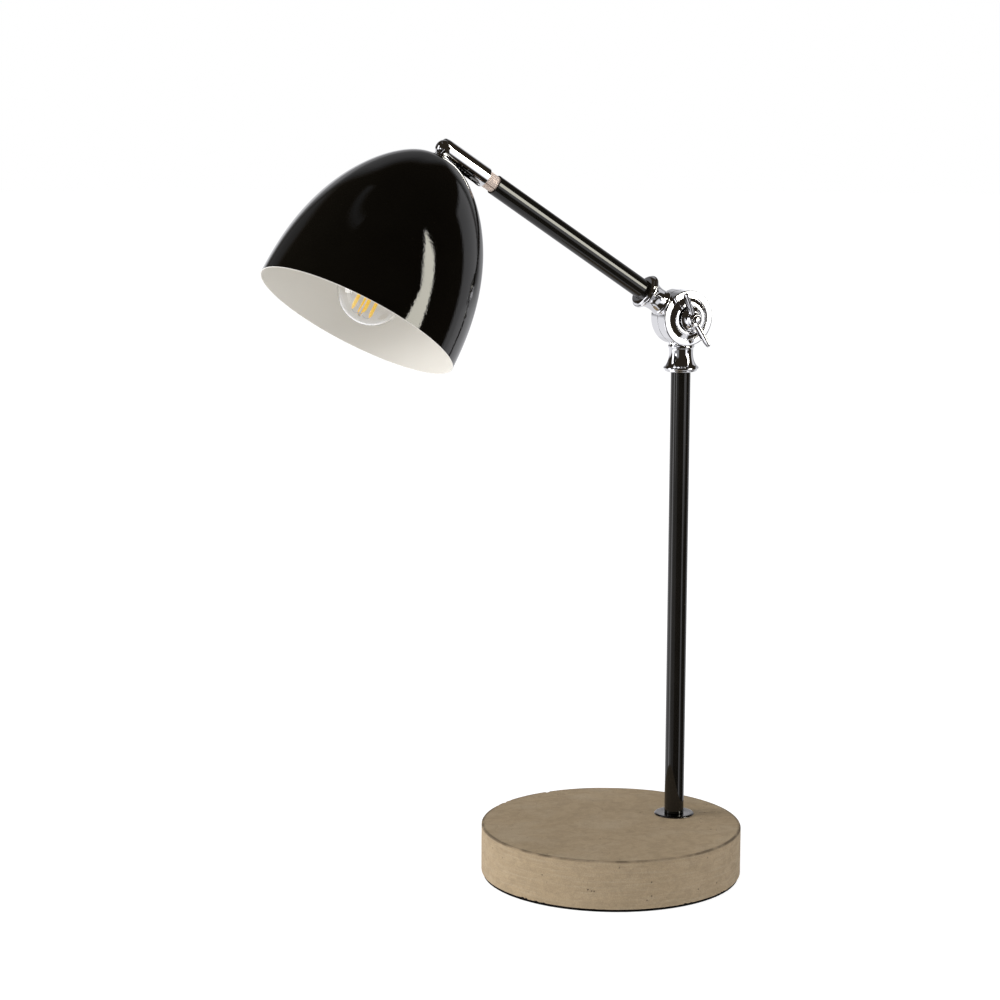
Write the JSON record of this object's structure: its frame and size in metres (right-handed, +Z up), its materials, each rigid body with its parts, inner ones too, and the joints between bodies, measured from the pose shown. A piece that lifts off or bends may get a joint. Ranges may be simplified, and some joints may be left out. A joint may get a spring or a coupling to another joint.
{
  "type": "adjustable table lamp",
  "caption": "Desk lamp with a concrete disc base, a black steel pole, a wing-nut elbow, a tilting arm and a gloss black dome shade on a slotted ball swivel.",
  "frame": {"origin": "centre of the round base's underside, on the felt that the lamp rests on", "axes": "+Z up along the pole; the arm reaches over the base towards -X; the elbow's axis is Y with its wing nut on the -Y side"},
  "size_m": [0.3488, 0.18, 0.5107],
  "materials": {
    "felt": "matt pressed felt",
    "concrete": "cast concrete, dry and lightly worn",
    "rubber": "matt",
    "dark_nickel": "polished black nickel",
    "steel": "zinc plated",
    "black_enamel": "gloss black enamel, warm white inside the shade",
    "chrome": "mirror polished",
    "brushed_nickel": "turned satin nickel",
    "brass": "turned",
    "friction_fibre": "pressed fibre",
    "white_plastic": "satin moulded",
    "black_insulator": "vitrite",
    "clear_glass": "clear",
    "phosphor": "silicone with yellow phosphor"
  },
  "bodies": {
    "stand": {"felt_pad": "felt", "concrete_base": "concrete", "cable_grommet": "rubber", "foot_plate": "dark_nickel", "foot_threaded_tube": "steel", "foot_washer": "steel", "foot_lock_washer": "steel", "foot_nut": "steel", "pole_tube": "black_enamel", "pole_knuckle": "chrome", "friction_disc": "friction_fibre", "pivot_bolt": "chrome", "thrust_washer": "chrome", "spring_washer": "steel"},
    "nut": {"wing_nut": "chrome"},
    "arm": {"arm_knuckle": "chrome", "arm_tube": "black_enamel", "swivel_collar": "brushed_nickel"},
    "head": {"swivel_sleeve": "chrome", "ball_spring": "steel", "ball_seat": "brass"},
    "ball": {"swivel_ball": "chrome"},
    "shade": {"stem_flange": "chrome", "shade_shell": "black_enamel", "shade_lock_washer": "steel", "shade_nut": "steel", "holder_cap": "white_plastic", "holder_barrel": "white_plastic", "holder_screw_shell": "brass", "holder_contact": "brass", "bulb_glass": "clear_glass", "bulb_cap": "brushed_nickel", "bulb_insulator": "black_insulator", "bulb_contact": "steel", "bulb_stem": "clear_glass", "filament_ring_low": "steel", "filament_ring_high": "steel", "filament_1": "phosphor", "filament_2": "phosphor", "filament_3": "phosphor", "filament_4": "phosphor"}
  },
  "joints": [
    {"name": "arm_tilt", "type": "hinge", "parent": "stand", "child": "arm", "pos_m": [0.0512, 0, 0.386], "axis": [0, 1, 0], "range_deg": [-65, 50]},
    {"name": "wing_nut_turn", "type": "hinge", "parent": "stand", "child": "nut", "pos_m": [0.0512, 0, 0.386], "axis": [0, -1, 0], "range_deg": [0, 360]},
    {"name": "head_swivel", "type": "hinge", "parent": "arm", "child": "head", "pos_m": [-0.13037, 0, 0.50391], "axis": [-0.8387, 0, 0.5446], "range_deg": [-150, 150]},
    {"name": "shade_tilt", "type": "hinge", "parent": "head", "child": "ball", "pos_m": [-0.13037, 0, 0.50391], "axis": [-0.0569, 0.9945, -0.0877], "range_deg": [0, 85]},
    {"name": "shade_spin", "type": "hinge", "parent": "ball", "child": "shade", "pos_m": [-0.13037, 0, 0.50391], "axis": [-0.5417, -0.1045, -0.8341], "range_deg": [-170, 170]}
  ]
}
